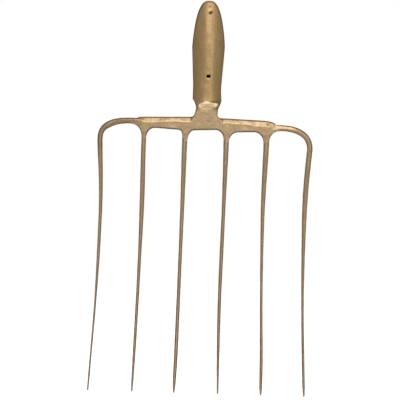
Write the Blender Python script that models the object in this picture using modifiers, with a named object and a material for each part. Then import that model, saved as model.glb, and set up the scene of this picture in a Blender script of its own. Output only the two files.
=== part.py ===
# Bale fork head: a rolled socket on a forged neck, a crossbar and six curved tines.
# Lengths are in metres. +Z runs up along the shaft, and -Y is the hollow side, which carries
# the bale. The origin is the middle of the flat seat in the socket, where the shaft stops.

import math

import bmesh
import bpy
from mathutils import Vector

# Fit between pieces
CLEARANCE = 0.0003

# Exponent of a superellipse that is a true ellipse
ROUND = 2.0

# Socket: sheet rolled round the shaft, with a tongue up the front, another up the back, and
# the seam down the middle of the back
SOCKET_WALL = 0.0022
SOCKET_FOOT_RADIUS = 0.0170
SOCKET_TAPER = 0.060
SOCKET_TAPER_START = 0.008
TONGUE_TAPER = 0.020
SOCKET_TIP_HEIGHT = 0.1063
SOCKET_BACK_TIP_HEIGHT = 0.1040
SOCKET_SIDE_HEIGHT = 0.050
SOCKET_SEAM_GAP = 0.0006
SOCKET_FOOT_DROP = 0.0127
SOCKET_FOOT_SLOPE = 0.276
TONGUE_CROWN = 3.0
TONGUE_FLANK = 3.0
SOCKET_COLUMNS = 44
SOCKET_ROWS = 14

# Fixing holes in the front of the socket
HOLE_RADIUS = 0.0024
HOLE_SINK_RADIUS = 0.0038
HOLE_SINK_DEPTH = 0.0010
HOLE_CUT_LENGTH = 0.0088
HOLE_SIDES = 20
UPPER_HOLE_HEIGHT = 0.0910
UPPER_HOLE_SHIFT = 0.0015
LOWER_HOLE_HEIGHT = 0.0167
LOWER_HOLE_SHIFT = 0.0012

# Neck: a round plug under the seat, a ramp below the socket and a flat plate down to the bar
NECK_HALF_WIDTH = 0.0131
NECK_SHIFT = 0.0007
NECK_FRONT = 0.0195
NECK_RAMP_HEIGHT = 0.0045
NECK_WAIST_HEIGHT = 0.0075
NECK_FLARE = 0.0036
NECK_FLARE_HEIGHT = 0.0060
NECK_SQUARENESS = 6.0
NECK_POINTS = 48
NECK_STEPS = 14

# Crossbar, measured down from the seat
BAR_DEPTH_BELOW_SEAT = 0.0322
BAR_HEIGHT = 0.0150
BAR_THICKNESS = 0.0080
BAR_OFFSET = 0.0140
BAR_END_REACH = 0.0080
BAR_DROOP = 0.0018
BAR_BEVEL = 0.0013
STUB_LENGTH = 0.0153
FILLET_RADIUS = 0.0120
ARC_STEPS = 6
BAR_TOP_STEPS = 12

# Arms and their bends
ARM_STEP_LEFT = 0.0010
ARM_STEP_RIGHT = 0.0041
ARM_THICKNESS_LEFT = 0.0066
ARM_THICKNESS_RIGHT = 0.0070
BEND_DROP = 0.028
BEND_REACH_LEFT = 0.026
BEND_REACH_RIGHT = 0.028
BEND_STEPS = 9
RING_SPACING = 0.002

# Tines, seen from the side: back to a belly, then forward to the tip
TINE_LENGTH = 0.3053
BELLY_DISTANCE = 0.100
BELLY_SETBACK = 0.022
TIP_ADVANCE = 0.030
TIP_ANGLE = math.radians(29)
TINE_STEPS = 26
TINE_SIDES = 12
SECTION_FULLNESS = 2.5

# Tines, seen from the front: evenly spaced, but for a hand smith's drift to either side
TINE_PITCH = 0.0484
OUTER_TINE_GAP = 0.0519
TINE_DRIFT = 0.001
TINE_ROOT_WIDTH = 0.0062
TINE_ROOT_DEPTH = 0.0076
TIP_SIZE = 0.0009

# Where each tine's widths and depths are given, and where its drifts are, as shares of the way
# from its root stub to its tip. A width or depth is a share of its root's.
TAPER_STATIONS = (0.0, 0.233, 0.430, 0.661, 0.847, 0.968)
DRIFT_STATIONS = (0.0, 0.120, 0.292, 0.637, 0.861, 1.0)
DEPTH_SHARES = (1.0, 0.895, 0.763, 0.632, 0.553, 0.421)

# Distances from the fork's middle that follow from the spacing
INNER_SPREAD = 1.5 * TINE_PITCH
OUTER_SPREAD = INNER_SPREAD + OUTER_TINE_GAP
BAR_HALF_LENGTH = INNER_SPREAD + BAR_END_REACH

# Each tine: its nominal middle, its drifts and its widths, both from root to tip. An outer tine
# has its arm and bend as well, and an inner tine has the fillets at its root, left and right,
# as shares of the usual radius.
OUTER_TINES = (
    {
        "name": "outer_tine_left",
        "side": -1,
        "middle": -OUTER_SPREAD,
        "arm_step": ARM_STEP_LEFT,
        "arm_thickness": ARM_THICKNESS_LEFT,
        "bend_reach": BEND_REACH_LEFT,
        "bend_fullness": 2.25,
        "drifts": (-0.5, 0.5, 0.2, -1.1, -2.3, -2.5),
        "widths": (0.984, 0.710, 0.629, 0.419, 0.339, 0.258),
    },
    {
        "name": "outer_tine_right",
        "side": 1,
        "middle": OUTER_SPREAD,
        "arm_step": ARM_STEP_RIGHT,
        "arm_thickness": ARM_THICKNESS_RIGHT,
        "bend_reach": BEND_REACH_RIGHT,
        "bend_fullness": 2.15,
        "drifts": (-0.4, -1.8, -1.9, -2.1, -1.8, -1.8),
        "widths": (1.048, 0.968, 0.677, 0.500, 0.500, 0.419),
    },
)
INNER_TINES = (
    {
        "name": "inner_tine_1",
        "middle": -INNER_SPREAD,
        "drifts": (-0.5, -0.9, -1.7, -2.8, -3.3, -3.4),
        "widths": (0.887, 0.919, 0.677, 0.581, 0.532, 0.339),
        "fillets": (1.2, 0.9),
    },
    {
        "name": "inner_tine_2",
        "middle": -TINE_PITCH / 2.0,
        "drifts": (-0.4, -0.7, -1.3, -2.2, -2.7, -3.4),
        "widths": (1.000, 0.806, 0.694, 0.677, 0.694, 0.500),
        "fillets": (0.42, 0.8),
    },
    {
        "name": "inner_tine_3",
        "middle": TINE_PITCH / 2.0,
        "drifts": (0.4, 0.5, 0.3, -1.4, -1.5, -1.2),
        "widths": (1.032, 0.758, 0.710, 0.661, 0.500, 0.323),
        "fillets": (0.9, 1.0),
    },
    {
        "name": "inner_tine_4",
        "middle": INNER_SPREAD,
        "drifts": (-0.4, -0.7, -0.6, 0.2, 0.8, 0.0),
        "widths": (1.081, 0.839, 0.597, 0.516, 0.597, 0.500),
        "fillets": (1.0, 1.1),
    },
)

# Paint on every piece, a metallic brown gold: colour, roughness and metallic value
PAINT_COLOURS = {
    "socket": (0.38, 0.27, 0.15, 1.0),
    "neck": (0.42, 0.30, 0.17, 1.0),
    "crossbar": (0.41, 0.29, 0.16, 1.0),
    "tine": (0.34, 0.25, 0.14, 1.0),
}
PAINT_ROUGHNESS = 0.45
PAINT_METALLIC = 0.6

# Levels and radii that follow from the sizes above
PLUG_RADIUS = SOCKET_FOOT_RADIUS - SOCKET_WALL - CLEARANCE
BAR_TOP = -BAR_DEPTH_BELOW_SEAT
BAR_BOTTOM = BAR_TOP - BAR_HEIGHT
BAR_MIDDLE_Y = -BAR_OFFSET
STUB_BOTTOM = BAR_BOTTOM - STUB_LENGTH


def smooth_step(t):
    t = min(max(t, 0.0), 1.0)
    return t * t * (3.0 - 2.0 * t)


def blend(start, end, t):
    return start + (end - start) * t


def through_stations(stations, values, at):
    # A smooth curve through the values, with Catmull-Rom slopes at the stations
    last = len(stations) - 1
    if at <= stations[0]:
        return values[0]
    if at >= stations[last]:
        return values[last]
    i = max(k for k in range(last) if stations[k] <= at)
    span = stations[i + 1] - stations[i]
    t = (at - stations[i]) / span

    def slope(k):
        before = max(k - 1, 0)
        after = min(k + 1, last)
        return (values[after] - values[before]) / (stations[after] - stations[before])

    rise = values[i + 1] - values[i]
    start_slope = slope(i) * span
    end_slope = slope(i + 1) * span
    square = t * t
    cube = square * t
    return (values[i] + rise * (3.0 * square - 2.0 * cube)
            + start_slope * (cube - 2.0 * square + t) + end_slope * (cube - square))


def tine_place(tine, share):
    return tine["middle"] + TINE_DRIFT * through_stations(DRIFT_STATIONS, tine["drifts"], share)


def tine_taper(root_size, shares, share):
    # A width or a depth, which comes down to the tip's size at the end
    stations = TAPER_STATIONS + (1.0,)
    sizes = [root_size * part for part in shares]
    return through_stations(stations, sizes + [TIP_SIZE], share)


def root_width(tine):
    return tine_taper(TINE_ROOT_WIDTH, tine["widths"], 0.0)


def signed_power(value, power):
    return math.copysign(abs(value) ** power, value)


def new_material(name, colour):
    material = bpy.data.materials.new(name)
    material.use_nodes = True
    shader = material.node_tree.nodes["Principled BSDF"]
    shader.inputs["Base Color"].default_value = colour
    shader.inputs["Roughness"].default_value = PAINT_ROUGHNESS
    shader.inputs["Metallic"].default_value = PAINT_METALLIC
    material.diffuse_color = colour
    return material


def add_piece(name, mesh, collection, parent, colour, sharp_angle):
    mesh.shade_smooth()
    mesh.set_sharp_from_angle(angle=math.radians(sharp_angle))
    mesh.materials.append(new_material(name + "_paint", colour))
    piece = bpy.data.objects.new(name, mesh)
    collection.objects.link(piece)
    piece.parent = parent
    return piece


def loft(name, rings):
    # A closed skin through rings that all have the same number of points
    body = bmesh.new()
    rows = [[body.verts.new(point) for point in ring] for ring in rings]
    count = len(rings[0])
    for upper, lower in zip(rows, rows[1:]):
        for k in range(count):
            after = (k + 1) % count
            body.faces.new((upper[k], upper[after], lower[after], lower[k]))
    body.faces.new(rows[0])
    body.faces.new(rows[-1])
    bmesh.ops.recalc_face_normals(body, faces=body.faces[:])
    mesh = bpy.data.meshes.new(name)
    body.to_mesh(mesh)
    body.free()
    return mesh


# Socket

def socket_radius(height):
    # Straight at the foot, then tapered, and less so in the tongues
    tube = min(max(height, SOCKET_TAPER_START), SOCKET_SIDE_HEIGHT) - SOCKET_TAPER_START
    tongue = max(height - SOCKET_SIDE_HEIGHT, 0.0)
    return SOCKET_FOOT_RADIUS + SOCKET_TAPER * tube + TONGUE_TAPER * tongue


def socket_foot_height(y):
    # The foot is cut on a slant, lowest at the front
    return -SOCKET_FOOT_DROP + SOCKET_FOOT_SLOPE * (y + SOCKET_FOOT_RADIUS)


def socket_rim_height(angle):
    # A round tongue over each half, at an angle from the middle of the front
    quarter = math.pi / 2.0
    tip = SOCKET_TIP_HEIGHT
    if angle > quarter:
        tip = SOCKET_BACK_TIP_HEIGHT
        angle = math.pi - angle
    share = (1.0 - (angle / quarter) ** TONGUE_CROWN) ** TONGUE_FLANK
    return blend(SOCKET_SIDE_HEIGHT, tip, share)


def make_hole_cutter(name, height, shift, cutters):
    # A countersunk drill, turned about the cutter's own Z, which then points forward
    surface = socket_radius(height)
    inner_end = surface - HOLE_CUT_LENGTH
    outer_end = surface + SOCKET_WALL
    profile = bmesh.new()
    points = (
        (0.0, outer_end),
        (HOLE_SINK_RADIUS, outer_end),
        (HOLE_SINK_RADIUS, surface),
        (HOLE_RADIUS, surface - HOLE_SINK_DEPTH),
        (HOLE_RADIUS, inner_end),
        (0.0, inner_end),
    )
    verts = [profile.verts.new((x, 0.0, z)) for x, z in points]
    for start, end in zip(verts, verts[1:]):
        profile.edges.new((start, end))
    mesh = bpy.data.meshes.new(name)
    profile.to_mesh(mesh)
    profile.free()
    cutter = bpy.data.objects.new(name, mesh)
    cutters.objects.link(cutter)
    turn = cutter.modifiers.new("turn", "SCREW")
    turn.steps = HOLE_SIDES
    turn.render_steps = HOLE_SIDES
    turn.use_merge_vertices = True
    turn.merge_threshold = 0.00001
    cutter.location = (shift, 0.0, height)
    cutter.rotation_euler = (math.pi / 2.0, 0.0, 0.0)
    cutter.display_type = "WIRE"
    cutter.hide_render = True
    return cutter


def make_socket(parts, cutters, parent):
    seam_angle = math.pi - SOCKET_SEAM_GAP / 2.0 / SOCKET_FOOT_RADIUS
    sheet = bmesh.new()
    columns = []
    for c in range(SOCKET_COLUMNS + 1):
        angle = seam_angle * (2.0 * c / SOCKET_COLUMNS - 1.0)
        foot = socket_foot_height(-SOCKET_FOOT_RADIUS * math.cos(angle))
        rim = socket_rim_height(abs(angle))
        column = []
        for r in range(SOCKET_ROWS + 1):
            height = blend(foot, rim, r / SOCKET_ROWS)
            radius = socket_radius(height)
            place = (radius * math.sin(angle), -radius * math.cos(angle), height)
            column.append(sheet.verts.new(place))
        columns.append(column)
    for left, right in zip(columns, columns[1:]):
        for r in range(SOCKET_ROWS):
            sheet.faces.new((left[r], right[r], right[r + 1], left[r + 1]))
    mesh = bpy.data.meshes.new("socket")
    sheet.to_mesh(mesh)
    sheet.free()
    socket = add_piece("socket", mesh, parts, parent, PAINT_COLOURS["socket"], 40)
    wall = socket.modifiers.new("wall", "SOLIDIFY")
    wall.thickness = SOCKET_WALL
    wall.offset = -1.0
    wall.use_even_offset = True
    holes = (
        ("upper_hole_cutter", UPPER_HOLE_HEIGHT, UPPER_HOLE_SHIFT),
        ("lower_hole_cutter", LOWER_HOLE_HEIGHT, LOWER_HOLE_SHIFT),
    )
    for name, height, shift in holes:
        hole = socket.modifiers.new(name, "BOOLEAN")
        hole.operation = "DIFFERENCE"
        hole.object = make_hole_cutter(name, height, shift, cutters)
    return socket


# Neck

def neck_ring(shift, half_width, front, back, fullness, front_height, tilt):
    # A rounded section from y = front to y = back, whose plane tilts up towards the back
    ring = []
    middle = (front + back) / 2.0
    half_depth = (back - front) / 2.0
    for k in range(NECK_POINTS):
        angle = 2.0 * math.pi * k / NECK_POINTS
        x = shift + half_width * signed_power(math.sin(angle), 2.0 / fullness)
        y = middle - half_depth * signed_power(math.cos(angle), 2.0 / fullness)
        ring.append((x, y, front_height + tilt * (y - front)))
    return ring


def make_neck(parts, parent):
    shoulder = -SOCKET_FOOT_DROP - CLEARANCE
    plug_slope = SOCKET_FOOT_SLOPE * SOCKET_FOOT_RADIUS / PLUG_RADIUS
    bar_front = BAR_MIDDLE_Y - BAR_THICKNESS / 2.0
    bar_back = BAR_MIDDLE_Y + BAR_THICKNESS / 2.0
    neck_foot = BAR_TOP + CLEARANCE
    rings = [
        neck_ring(0.0, PLUG_RADIUS, -PLUG_RADIUS, PLUG_RADIUS, ROUND, 0.0, 0.0),
        neck_ring(0.0, PLUG_RADIUS, -PLUG_RADIUS, PLUG_RADIUS, ROUND, shoulder, plug_slope),
    ]
    for step in range(NECK_STEPS + 1):
        t = step / NECK_STEPS
        height = blend(shoulder, neck_foot, t)
        below_shoulder = shoulder - height
        waist = smooth_step(below_shoulder / NECK_WAIST_HEIGHT)
        flare = max(1.0 - (height - neck_foot) / NECK_FLARE_HEIGHT, 0.0)
        half_width = blend(SOCKET_FOOT_RADIUS, NECK_HALF_WIDTH, waist)
        half_width += NECK_FLARE * (1.0 - math.sqrt(1.0 - flare * flare))
        ramp = smooth_step(below_shoulder / NECK_RAMP_HEIGHT)
        settle = smooth_step((below_shoulder - NECK_RAMP_HEIGHT)
                             / (shoulder - neck_foot - NECK_RAMP_HEIGHT))
        front = blend(blend(-SOCKET_FOOT_RADIUS, -NECK_FRONT, ramp), bar_front, settle)
        back = blend(SOCKET_FOOT_RADIUS, bar_back, math.sin(t * math.pi / 2.0))
        fullness = blend(ROUND, NECK_SQUARENESS, math.sin(t * math.pi / 2.0))
        tilt = SOCKET_FOOT_SLOPE * (1.0 - smooth_step(t))
        rings.append(neck_ring(NECK_SHIFT * waist, half_width, front, back, fullness,
                               height, tilt))
    mesh = loft("neck", rings)
    return add_piece("neck", mesh, parts, parent, PAINT_COLOURS["neck"], 35)


# Crossbar

def bar_top_height(x):
    return BAR_TOP - BAR_DROOP * (x / BAR_HALF_LENGTH) ** 2


def arm_top_height(arm_step):
    return bar_top_height(BAR_HALF_LENGTH) - arm_step


def fillet_side(tine, side):
    # The fillet between a stub's side and the underside that it meets there
    radius = FILLET_RADIUS * tine["fillets"][0 if side < 0 else 1]
    level = BAR_BOTTOM
    if side < 0 and tine is INNER_TINES[0]:
        level = arm_top_height(ARM_STEP_LEFT) - ARM_THICKNESS_LEFT
    if side > 0 and tine is INNER_TINES[-1]:
        level = arm_top_height(ARM_STEP_RIGHT) - ARM_THICKNESS_RIGHT
    edge = tine_place(tine, 0.0) + side * root_width(tine) / 2.0
    return edge + side * radius, level - radius, radius


def fillet_points(tine, side):
    # Points from the stub's side up to the underside, or to the bar's end if that comes first
    centre_x, centre_z, radius = fillet_side(tine, side)
    room = BAR_HALF_LENGTH - abs(centre_x)
    end = math.pi / 2.0
    if room < 0.0:
        end = math.acos(min(-room / radius, 1.0))
    points = []
    for k in range(ARC_STEPS + 1):
        angle = end * k / ARC_STEPS
        x = centre_x - side * radius * math.cos(angle)
        points.append((x, centre_z + radius * math.sin(angle)))
    return points


def bar_corner(side, radius):
    # From the bar's top round to its end
    points = []
    for k in range(ARC_STEPS + 1):
        angle = math.pi / 2.0 * k / ARC_STEPS
        x = side * (BAR_HALF_LENGTH - radius + radius * math.sin(angle))
        z = bar_top_height(BAR_HALF_LENGTH) - radius + radius * math.cos(angle)
        points.append((x, z))
    return points


def bar_outline():
    # Along the top from left to right, then back along the roots of the tines
    points = bar_corner(-1, max(ARM_STEP_LEFT, BAR_BEVEL))[::-1]
    for k in range(1, BAR_TOP_STEPS):
        x = BAR_HALF_LENGTH * (2.0 * k / BAR_TOP_STEPS - 1.0)
        points.append((x, bar_top_height(x)))
    points += bar_corner(1, max(ARM_STEP_RIGHT, BAR_BEVEL))
    for tine in reversed(INNER_TINES):
        middle = tine_place(tine, 0.0)
        edge = root_width(tine) / 2.0
        points += reversed(fillet_points(tine, 1))
        points.append((middle + edge, STUB_BOTTOM))
        points.append((middle - edge, STUB_BOTTOM))
        points += fillet_points(tine, -1)
    return points


def make_crossbar(parts, parent):
    outline = bpy.data.curves.new("crossbar_outline", "CURVE")
    outline.dimensions = "2D"
    outline.fill_mode = "BOTH"
    outline.extrude = BAR_THICKNESS / 2.0 - BAR_BEVEL
    outline.bevel_depth = BAR_BEVEL
    outline.bevel_resolution = 1
    outline.offset = -BAR_BEVEL
    spline = outline.splines.new("POLY")
    points = bar_outline()
    spline.points.add(len(points) - 1)
    for point, (x, z) in zip(spline.points, points):
        point.co = (x, z, 0.0, 1.0)
    spline.use_cyclic_u = True
    drawn = bpy.data.objects.new("crossbar_outline", outline)
    parts.objects.link(drawn)
    drawn.rotation_euler = (math.pi / 2.0, 0.0, 0.0)
    drawn.location = (0.0, BAR_MIDDLE_Y, 0.0)
    bpy.context.view_layer.update()
    evaluated = drawn.evaluated_get(bpy.context.evaluated_depsgraph_get())
    mesh = bpy.data.meshes.new_from_object(evaluated)
    mesh.name = "crossbar"
    body = bmesh.new()
    body.from_mesh(mesh)
    bmesh.ops.remove_doubles(body, verts=body.verts[:], dist=0.00001)
    bmesh.ops.recalc_face_normals(body, faces=body.faces[:])
    body.to_mesh(mesh)
    body.free()
    crossbar = add_piece("crossbar", mesh, parts, parent, PAINT_COLOURS["crossbar"], 50)
    crossbar.matrix_world = drawn.matrix_world.copy()
    bpy.data.objects.remove(drawn)
    return crossbar


# Tines

def side_profile(below_stub):
    # Depth of the tine's middle and its slope, at a distance below the root stub
    belly = BELLY_DISTANCE - STUB_LENGTH
    if below_stub <= belly:
        t = max(below_stub, 0.0) / belly
        slope = 6.0 * BELLY_SETBACK * t * (1.0 - t) / belly
        return BAR_MIDDLE_Y + BELLY_SETBACK * smooth_step(t), slope
    span = TINE_LENGTH - BELLY_DISTANCE
    t = (below_stub - belly) / span
    rise = -TIP_ADVANCE - BELLY_SETBACK
    end_slope = -math.tan(TIP_ANGLE) * span
    y = BAR_MIDDLE_Y + BELLY_SETBACK + rise * (3.0 * t * t - 2.0 * t ** 3)
    y += end_slope * (t ** 3 - t * t)
    slope = (rise * 6.0 * t * (1.0 - t) + end_slope * (3.0 * t * t - 2.0 * t)) / span
    return y, slope


def section_ring(centre, across, through, half_width, half_depth):
    ring = []
    for k in range(TINE_SIDES):
        angle = 2.0 * math.pi * (k + 0.5) / TINE_SIDES
        a = half_width * signed_power(math.cos(angle), 2.0 / SECTION_FULLNESS)
        b = half_depth * signed_power(math.sin(angle), 2.0 / SECTION_FULLNESS)
        ring.append(centre + across * a + through * b)
    return ring


def tine_rings(tine):
    # Rings from the stub's end down to the tip, square to the tine as seen from the side
    rings = []
    first = STUB_LENGTH + CLEARANCE
    for step in range(TINE_STEPS + 1):
        below_bar = blend(first, TINE_LENGTH, step / TINE_STEPS)
        share = (below_bar - STUB_LENGTH) / (TINE_LENGTH - STUB_LENGTH)
        x = tine_place(tine, share)
        y, slope = side_profile(below_bar - STUB_LENGTH)
        width = tine_taper(TINE_ROOT_WIDTH, tine["widths"], share)
        depth = tine_taper(TINE_ROOT_DEPTH, DEPTH_SHARES, share)
        tilt = math.atan(slope)
        through = Vector((0.0, math.cos(tilt), math.sin(tilt)))
        centre = Vector((x, y, BAR_BOTTOM - below_bar))
        rings.append(section_ring(centre, Vector((1.0, 0.0, 0.0)), through,
                                  width / 2.0, depth / 2.0))
    return rings


def make_inner_tine(tine, parts, parent):
    mesh = loft(tine["name"], tine_rings(tine))
    return add_piece(tine["name"], mesh, parts, parent, PAINT_COLOURS["tine"], 35)


def arm_rings(tine):
    # Rings from the bar's end, out along the arm and round the bend, to the stub's level
    side = tine["side"]
    neighbour = INNER_TINES[0 if side < 0 else -1]
    centre_x, centre_z, radius = fillet_side(neighbour, side)
    top = arm_top_height(tine["arm_step"])
    middle = top - tine["arm_thickness"] / 2.0
    through = Vector((0.0, 1.0, 0.0))
    start = BAR_HALF_LENGTH + CLEARANCE
    flare_end = abs(centre_x)
    root_x = abs(tine_place(tine, 0.0))
    bend_start = root_x - tine["bend_reach"]
    rings = []
    for k in range(ARC_STEPS):
        x = blend(start, flare_end, k / ARC_STEPS)
        lower = centre_z + math.sqrt(radius ** 2 - (flare_end - x) ** 2)
        centre = Vector((side * x, BAR_MIDDLE_Y, (top + lower) / 2.0))
        rings.append(section_ring(centre, Vector((0.0, 0.0, side)), through,
                                  (top - lower) / 2.0, BAR_THICKNESS / 2.0))
    for k in range(BEND_STEPS + 1):
        angle = math.pi / 2.0 * k / BEND_STEPS
        out = math.sin(angle) ** (2.0 / tine["bend_fullness"])
        down = 1.0 - max(math.cos(angle), 0.0) ** (2.0 / tine["bend_fullness"])
        centre = Vector((side * (bend_start + tine["bend_reach"] * out), BAR_MIDDLE_Y,
                         middle - BEND_DROP * down))
        across = Vector((side * math.sin(angle), 0.0, math.cos(angle))) * side
        share = smooth_step(k / BEND_STEPS)
        rings.append(section_ring(centre, across, through,
                                  blend(tine["arm_thickness"], root_width(tine), share) / 2.0,
                                  blend(BAR_THICKNESS, TINE_ROOT_DEPTH, share) / 2.0))
    return rings


def make_outer_tine(tine, parts, parent):
    rings = arm_rings(tine)
    lowest = min(point.z for point in rings[-1])
    # The tine's own rings take over below the bend, where they clear its last ring
    for ring in tine_rings(tine):
        if max(point.z for point in ring) < lowest - RING_SPACING:
            rings.append(ring)
    mesh = loft(tine["name"], rings)
    return add_piece(tine["name"], mesh, parts, parent, PAINT_COLOURS["tine"], 35)


def main():
    for leftover in list(bpy.data.objects):
        bpy.data.objects.remove(leftover)
    scene_collection = bpy.context.scene.collection
    parts = bpy.data.collections.new("bale_fork_head")
    cutters = bpy.data.collections.new("cutters")
    scene_collection.children.link(parts)
    scene_collection.children.link(cutters)
    frame = bpy.data.objects.new("head_frame", None)
    parts.objects.link(frame)
    make_socket(parts, cutters, frame)
    make_neck(parts, frame)
    make_crossbar(parts, frame)
    for tine in INNER_TINES:
        make_inner_tine(tine, parts, frame)
    for tine in OUTER_TINES:
        make_outer_tine(tine, parts, frame)
    bpy.context.view_layer.update()


main()
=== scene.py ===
import math

import bpy
import numpy as np
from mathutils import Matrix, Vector


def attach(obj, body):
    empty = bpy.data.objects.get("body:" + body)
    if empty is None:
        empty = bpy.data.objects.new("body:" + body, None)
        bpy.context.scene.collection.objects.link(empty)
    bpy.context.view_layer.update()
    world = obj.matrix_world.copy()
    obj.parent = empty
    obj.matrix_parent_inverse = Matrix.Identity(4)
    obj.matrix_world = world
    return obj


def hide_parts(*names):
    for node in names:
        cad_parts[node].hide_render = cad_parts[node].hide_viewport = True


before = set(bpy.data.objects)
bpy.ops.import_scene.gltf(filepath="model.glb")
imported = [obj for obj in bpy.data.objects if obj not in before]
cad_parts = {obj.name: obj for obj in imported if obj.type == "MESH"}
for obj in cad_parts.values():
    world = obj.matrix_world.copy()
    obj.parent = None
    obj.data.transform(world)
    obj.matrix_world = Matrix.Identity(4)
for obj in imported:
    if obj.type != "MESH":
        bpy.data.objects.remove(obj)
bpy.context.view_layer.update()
print("frame loaded:", len(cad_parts), "pieces")

mm = 0.001
right = math.pi / 2
near = 0.05 * mm                # points closer than this count as one place
leastTurn = 1e-6                # radians, a smaller turn is left out


# small helpers

def dropSelection():
    for obj in bpy.context.selected_objects:
        obj.select_set(False)


def grab(obj):
    # the only thing selected, and active
    dropSelection()
    obj.select_set(True)
    bpy.context.view_layer.objects.active = obj


def startEdit(obj, mode="VERT", action="DESELECT"):
    grab(obj)
    bpy.ops.object.mode_set(mode="EDIT")
    bpy.ops.mesh.select_mode(type=mode)
    bpy.ops.mesh.select_all(action=action)


def endEdit():
    bpy.ops.object.mode_set(mode="OBJECT")


def pick(obj, kind, test):
    # select vertices, edges or polygons by a test, then go back to edit mode
    bpy.ops.mesh.select_all(action="DESELECT")
    endEdit()
    for part in getattr(obj.data, kind):
        part.select = test(part)
    bpy.ops.object.mode_set(mode="EDIT")


def pickVerts(obj, test):
    pick(obj, "vertices", lambda vert: test(vert.co))


def addModifier(obj, kind, **values):
    modifier = obj.modifiers.new(kind.lower(), kind)
    for name, value in values.items():
        setattr(modifier, name, value)
    grab(obj)
    bpy.ops.object.modifier_apply(modifier=modifier.name)


def newest(name):
    # what an operator has just made, under its own name
    obj = bpy.context.object
    obj.name = obj.data.name = name
    return obj


def addNew(name, operator, **values):
    dropSelection()
    operator(**values)
    return newest(name)


def copyOf(obj, name):
    grab(obj)
    bpy.ops.object.duplicate()
    return newest(name)


def joinAll(objs, name):
    dropSelection()
    for obj in objs:
        obj.select_set(True)
    bpy.context.view_layer.objects.active = objs[0]
    bpy.ops.object.join()
    return newest(name)


def normalsOut(obj):
    startEdit(obj, action="SELECT")
    bpy.ops.mesh.normals_make_consistent(inside=False)
    endEdit()


def closeEnds(obj):
    # fill every open ring
    startEdit(obj)
    bpy.ops.mesh.select_non_manifold(extend=False)
    bpy.ops.mesh.edge_face_add()
    endEdit()
    normalsOut(obj)


def cutAway(obj, at, towards, fill=True):
    # bisect, and throw away the side that the arrow points to
    startEdit(obj, action="SELECT")
    bpy.ops.mesh.bisect(plane_co=at, plane_no=towards, clear_outer=True, use_fill=fill)
    endEdit()


def pressIn(obj, place, move, reach):
    # a soft blow: the nearest point moves, and what lies within reach follows
    spot = Vector(place) * mm
    startEdit(obj)
    endEdit()
    nearest = min(obj.data.vertices, key=lambda vert: (vert.co - spot).length_squared)
    nearest.select = True
    bpy.ops.object.mode_set(mode="EDIT")
    bpy.ops.transform.translate(value=Vector(move) * mm, use_proportional_edit=True,
                                proportional_edit_falloff="SMOOTH", proportional_size=reach * mm)
    endEdit()


def feelEdges(obj, rounds, full):
    # how far each point stands proud of what is round it, as a share of full
    mesh = obj.data
    count = len(mesh.vertices)
    places, normals = np.empty(count * 3), np.empty(count * 3)
    mesh.vertices.foreach_get("co", places)
    mesh.vertices.foreach_get("normal", normals)
    ends = np.empty(len(mesh.edges) * 2, dtype=int)
    mesh.edges.foreach_get("vertices", ends)
    ends = ends.reshape(-1, 2)
    places, normals = places.reshape(-1, 3), normals.reshape(-1, 3)
    neighbours = np.bincount(ends.ravel(), minlength=count)[:, None]
    soft = places.copy()
    for _ in range(rounds):
        total = np.zeros_like(soft)
        np.add.at(total, ends[:, 0], soft[ends[:, 1]])
        np.add.at(total, ends[:, 1], soft[ends[:, 0]])
        soft = total / neighbours
    return ((places - soft) * normals).sum(axis=1) / full


def keepPaintedShade(obj, values):
    # painted shade: dark outlines along edges are above nought, and the painted dark inside the
    # socket below it
    worn = obj.data.attributes.new("worn", "FLOAT", "POINT")
    worn.data.foreach_set("value", np.clip(values, -1, 1).astype(np.float32))


def smoothStep(t):
    t = min(max(t, 0.0), 1.0)
    return t * t * (3 - 2 * t)


def mix(a, b, t):
    return a + (b - a) * t


def through(stations, values, at):
    # smooth curve through values given at stations
    last = len(stations) - 1
    if at <= stations[0]:
        return values[0]
    if at >= stations[last]:
        return values[last]
    i = max(k for k in range(last) if stations[k] <= at)
    span = stations[i + 1] - stations[i]
    t = (at - stations[i]) / span

    def slope(k):
        before, after = max(k - 1, 0), min(k + 1, last)
        return (values[after] - values[before]) / (stations[after] - stations[before])

    rise = values[i + 1] - values[i]
    return (values[i] + rise * (3 * t * t - 2 * t ** 3)
            + slope(i) * span * (t ** 3 - 2 * t * t + t)
            + slope(i + 1) * span * (t ** 3 - t * t))


def spin(angle, axis, centre):
    # with no window the rotate operator turns the other way
    if abs(angle) > leastTurn:
        bpy.ops.transform.rotate(value=-angle, orient_axis=axis, center_override=centre)


def drawOut(step):
    bpy.ops.mesh.extrude_region_move(TRANSFORM_OT_translate={"value": step})


def drawBar(name, rings, sides, openStart=False):
    # a round bar drawn out ring by ring: each ring has centre, width, depth, turn, tilt
    first = rings[0]
    start = Vector(first["centre"])
    bar = addNew(name, bpy.ops.mesh.primitive_circle_add, vertices=sides, radius=0.5,
                 fill_type="NGON", location=(0, 0, 0))
    startEdit(bar, action="SELECT")
    bpy.ops.transform.resize(value=(first["width"], first["depth"], 1),
                             center_override=(0, 0, 0))
    spin(first["turn"], "Y", (0, 0, 0))
    spin(first["tilt"], "X", (0, 0, 0))
    bpy.ops.transform.translate(value=start)
    for before, after in zip(rings, rings[1:]):
        centre = Vector(after["centre"])
        step = centre - Vector(before["centre"])
        drawOut(step)
        across = after["width"] / before["width"]
        deep = after["depth"] / before["depth"]
        inBend = abs(before["turn"]) > bend["leastTurn"]
        bpy.ops.transform.resize(value=(across, deep, across if inBend else deep),
                                 center_override=centre)
        spin(after["turn"] - before["turn"], "Y", centre)
        spin(after["tilt"] - before["tilt"], "X", centre)
    endEdit()
    if openStart:
        # the first cap comes off again
        startEdit(bar, "FACE")
        pick(bar, "polygons", lambda face: len(face.vertices) == sides
             and (face.center - start).length < first["width"])
        bpy.ops.mesh.delete(type="FACE")
        endEdit()
    normalsOut(bar)
    return bar


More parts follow.
